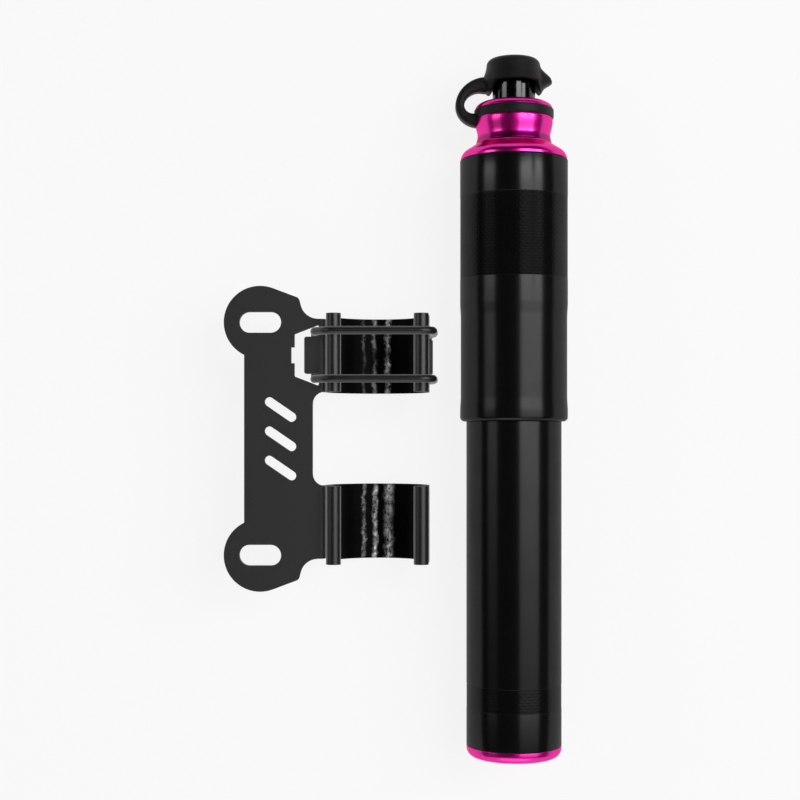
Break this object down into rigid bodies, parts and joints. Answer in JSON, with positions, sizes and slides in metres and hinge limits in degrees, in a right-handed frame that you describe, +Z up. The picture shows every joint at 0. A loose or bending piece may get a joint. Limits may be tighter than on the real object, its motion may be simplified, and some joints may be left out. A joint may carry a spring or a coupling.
{
  "type": "mini bicycle pump with frame bracket",
  "caption": "Hand pump with a sliding barrel, a pull-out hose and a tethered dust cap, beside the clip bracket that holds it on a frame.",
  "frame": {"origin": "on the bench, below the middle of the pump and bracket's footprint", "axes": "+Y along the pump from its tail to its hose end, +Z up from the bench, +X from the bracket towards the pump"},
  "size_m": [0.0952, 0.1944, 0.03],
  "materials": {
    "black_anodised": "satin gloss black anodised tube",
    "magenta_anodised": "bright magenta anodised, turned",
    "bracket_black": "matte black anodised extrusion",
    "black_rubber": "soft matte black rubber",
    "hose_rubber": "smooth black hose",
    "slide_plastic": "black moulded acetal",
    "piston_plastic": "natural moulded acetal",
    "chuck_black": "gloss black anodised, fluted",
    "insert_brass": "turned brass",
    "bare_alloy": "turned",
    "rod_alloy": "polished tube",
    "valve_steel": "bright spring steel"
  },
  "bodies": {
    "head": {"sleeve": "black_anodised", "guide_ring": "slide_plastic", "head_collar": "magenta_anodised", "cap_ring": "black_rubber", "piston_rod": "rod_alloy", "piston": "piston_plastic", "piston_seal": "black_rubber", "valve_spring": "valve_steel", "valve_retainer": "bare_alloy", "stroke_bumper": "black_rubber", "bumper": "black_rubber", "bracket": "bracket_black", "retaining_band": "black_rubber"},
    "barrel": {"barrel": "black_anodised", "tail_cap": "magenta_anodised", "tail_seal": "black_rubber", "rod_guide": "slide_plastic"},
    "hose": {"hose": "hose_rubber", "hose_ferrule": "bare_alloy", "hose_stop": "bare_alloy", "hose_seal": "black_rubber"},
    "chuck": {"chuck_body": "chuck_black", "chuck_insert": "insert_brass", "chuck_gasket": "black_rubber"},
    "dust_cap": {"dust_cap": "black_rubber", "cap_strap": "black_rubber"},
    "valve_ball": {"valve_ball": "valve_steel"}
  },
  "joints": [
    {"name": "pump_stroke", "type": "slide", "parent": "head", "child": "barrel", "axis": [0, -1, 0], "range_m": [0, 0.115]},
    {"name": "hose_pull", "type": "slide", "parent": "head", "child": "hose", "axis": [0, 1, 0], "range_m": [0, 0.05]},
    {"name": "chuck_spin", "type": "hinge", "parent": "hose", "child": "chuck", "pos_m": [0.0326, 0, 0.015], "axis": [0, 1, 0], "continuous": true},
    {"name": "cap_swing", "type": "hinge", "parent": "head", "child": "dust_cap", "pos_m": [0.0161, 0.0925, 0.015], "axis": [0, 0, 1], "range_deg": [0, 180], "deforming": ["cap_strap"]},
    {"name": "valve_lift", "type": "slide", "parent": "head", "child": "valve_ball", "axis": [0, 1, 0], "range_m": [0, 0.001], "stiffness_N_per_m": 200, "springref_m": -0.001, "deforming": ["valve_spring"]}
  ],
  "couplings": [
    {"joint": "cap_swing", "follows": "hose_pull", "rad_per_m": 62.83}
  ]
}
